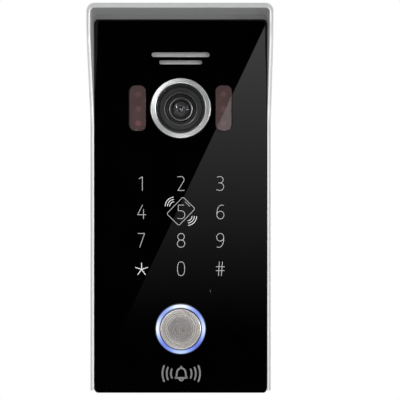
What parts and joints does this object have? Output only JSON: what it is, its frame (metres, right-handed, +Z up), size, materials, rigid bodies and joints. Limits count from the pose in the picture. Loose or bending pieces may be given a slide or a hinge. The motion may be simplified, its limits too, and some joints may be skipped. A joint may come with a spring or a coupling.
{
  "type": "door intercom panel",
  "caption": "Upright black-glass door station in an aluminium rain hood, with camera, infrared windows, speaker slots, touch keypad and a lit round call button.",
  "frame": {"origin": "the back plate's wall face, on the centre line and level with the middle of the glass", "axes": "+X to the right seen from the front, +Y into the wall, +Z up; the front faces -Y"},
  "size_m": [0.0942, 0.053, 0.2006],
  "materials": {
    "hood_aluminium": "satin anodised sheet",
    "ring_aluminium": "turned, satin anodised",
    "cap_steel": "spun finish",
    "zinc_steel": "zinc plated",
    "black_glass": "back-painted black, polished",
    "clear_glass": "polished and clear",
    "smoked_window": "dark infrared-passing acrylic",
    "black_plastic": "fine moulded texture",
    "white_plastic": "smooth moulded",
    "lit_ring": "frosted light guide, lit white-blue",
    "green_plastic": "moulded",
    "blue_plastic": "moulded",
    "seal_rubber": "soft moulded",
    "grey_rubber": "soft foamed strip",
    "cone_paper": "pressed paper",
    "circuit_board": "solder-masked laminate",
    "copper": "etched copper",
    "ferrite": "ground ferrite",
    "silicon": "polished die under a lid"
  },
  "bodies": {
    "panel": {"rain_hood": "hood_aluminium", "lock_screw": "zinc_steel", "case_screw_1": "zinc_steel", "case_screw_2": "zinc_steel", "case_screw_3": "zinc_steel", "case_screw_4": "zinc_steel", "board_screw_1": "zinc_steel", "board_screw_2": "zinc_steel", "board_screw_3": "zinc_steel", "board_screw_4": "zinc_steel", "camera_screw_1": "zinc_steel", "camera_screw_2": "zinc_steel", "speaker_grille": "zinc_steel", "speaker_frame": "zinc_steel", "microphone": "zinc_steel", "button_spring": "zinc_steel", "front_glass": "black_glass", "front_frame": "black_plastic", "rear_case": "black_plastic", "camera_baffle": "black_plastic", "lens_barrel": "black_plastic", "lens_holder": "black_plastic", "button_housing": "black_plastic", "button_switch": "black_plastic", "board_connector": "black_plastic", "top_seal": "grey_rubber", "case_seal": "seal_rubber", "speaker_gasket": "seal_rubber", "microphone_boot": "seal_rubber", "camera_ring": "ring_aluminium", "camera_window": "clear_glass", "lens_element": "clear_glass", "ir_led_left_1": "clear_glass", "ir_led_left_2": "clear_glass", "ir_led_left_3": "clear_glass", "ir_led_right_1": "clear_glass", "ir_led_right_2": "clear_glass", "ir_led_right_3": "clear_glass", "ir_window_left": "smoked_window", "ir_window_right": "smoked_window", "camera_board": "circuit_board", "ir_board_left": "circuit_board", "ir_board_right": "circuit_board", "keypad_board": "circuit_board", "button_led_board": "circuit_board", "main_board": "circuit_board", "image_sensor": "silicon", "camera_ribbon": "copper", "rfid_antenna": "copper", "speaker_cone": "cone_paper", "speaker_magnet": "ferrite", "keypad_light_guide": "white_plastic", "button_light_ring": "lit_ring", "terminal_block": "green_plastic", "relay": "blue_plastic", "trimmer_body": "blue_plastic"},
    "call_button": {"button_cap": "cap_steel", "button_plunger": "black_plastic", "switch_actuator": "white_plastic"},
    "volume_trimmer": {"trimmer_rotor": "white_plastic"}
  },
  "joints": [
    {"name": "call_button_press", "type": "slide", "parent": "panel", "child": "call_button", "axis": [0, 1, 0], "range_m": [0, 0.0012], "stiffness_N_per_m": 1800, "deforming": ["button_spring"]},
    {"name": "volume_trimmer_turn", "type": "hinge", "parent": "panel", "child": "volume_trimmer", "pos_m": [0.0215, -0.005, -0.029], "axis": [0, 1, 0], "range_deg": [-135, 135]}
  ]
}
